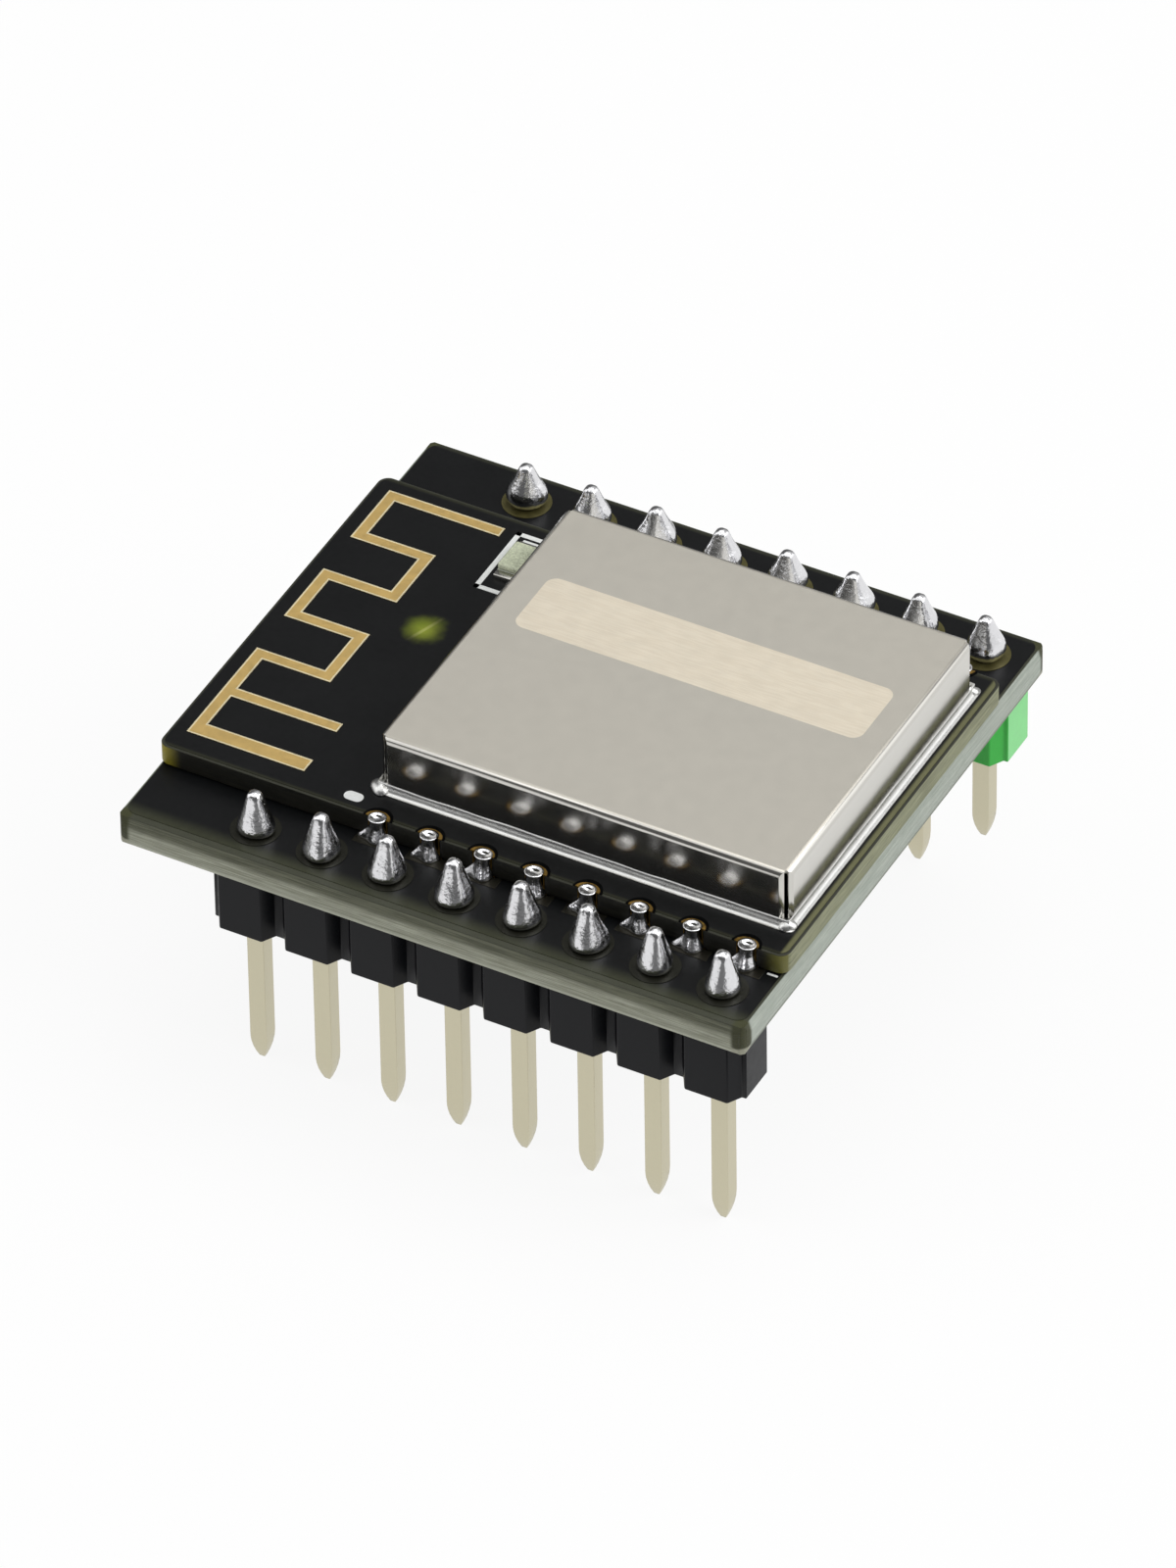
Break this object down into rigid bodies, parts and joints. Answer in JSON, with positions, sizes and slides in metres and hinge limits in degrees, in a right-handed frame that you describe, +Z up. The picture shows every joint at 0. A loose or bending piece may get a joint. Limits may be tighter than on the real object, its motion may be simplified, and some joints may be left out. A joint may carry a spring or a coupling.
{
  "type": "wi-fi radio module",
  "caption": "Castellated radio module with a printed antenna and a metal shield can, soldered to a carrier board with two rows of square header pins.",
  "frame": {"origin": "under the middle of the carrier board, level with the tips of the header pins", "axes": "+X along the header rows towards the shield can's end, +Y towards the rear header row, +Z up out of the shield can"},
  "size_m": [0.024, 0.0224, 0.0134],
  "materials": {
    "carrier_laminate": "black solder mask over glass-epoxy laminate, khaki at the snapped edges",
    "module_laminate": "black solder mask over glass-epoxy laminate, translucent olive at the cut edges",
    "ring_copper": "gold-plated copper rings, dulled by flux",
    "tinned_copper": "tinned copper",
    "gold_plating": "immersion gold over copper, satin",
    "solder": "reflowed tin solder, bright",
    "shield_sheet": "nickel-silver sheet, satin top and bright bends",
    "chip_moulding": "black moulding compound",
    "ceramic_base": "glazed alumina",
    "lid_metal": "plated metal lid",
    "lamp_white": "white moulded base",
    "lamp_resin": "clear to milky resin",
    "insulator_black": "black moulded thermoplastic, semi-gloss",
    "insulator_green": "green moulded thermoplastic, semi-gloss",
    "pin_brass": "brass pins with a pale gold flash, satin"
  },
  "bodies": {
    "root": {"carrier_board": "carrier_laminate", "hole_plating_front": "ring_copper", "hole_plating_rear": "ring_copper", "landing_pads_front": "tinned_copper", "landing_pads_rear": "tinned_copper", "module_board": "module_laminate", "castellation_plating_front": "gold_plating", "castellation_plating_rear": "gold_plating", "castellation_solder_front": "solder", "castellation_solder_rear": "solder", "antenna_trace": "gold_plating", "ground_land": "gold_plating", "shield_can": "shield_sheet", "shield_solder": "solder", "radio_chip": "chip_moulding", "flash_chip": "chip_moulding", "flash_leads": "tinned_copper", "crystal_base": "ceramic_base", "crystal_lid": "lid_metal", "passive_bodies": "ceramic_base", "passive_ends": "tinned_copper", "lamp_base": "lamp_white", "lamp_lens": "lamp_resin", "lamp_ends": "tinned_copper", "header_insulator_front": "insulator_black", "header_insulator_rear": "insulator_green", "pin_solder_front": "solder", "pin_solder_rear": "solder", "front_pin_1": "pin_brass", "front_pin_2": "pin_brass", "front_pin_3": "pin_brass", "front_pin_4": "pin_brass", "front_pin_5": "pin_brass", "front_pin_6": "pin_brass", "front_pin_7": "pin_brass", "front_pin_8": "pin_brass", "rear_pin_1": "pin_brass", "rear_pin_2": "pin_brass", "rear_pin_3": "pin_brass", "rear_pin_4": "pin_brass", "rear_pin_5": "pin_brass", "rear_pin_6": "pin_brass", "rear_pin_7": "pin_brass", "rear_pin_8": "pin_brass"}
  },
  "joints": []
}
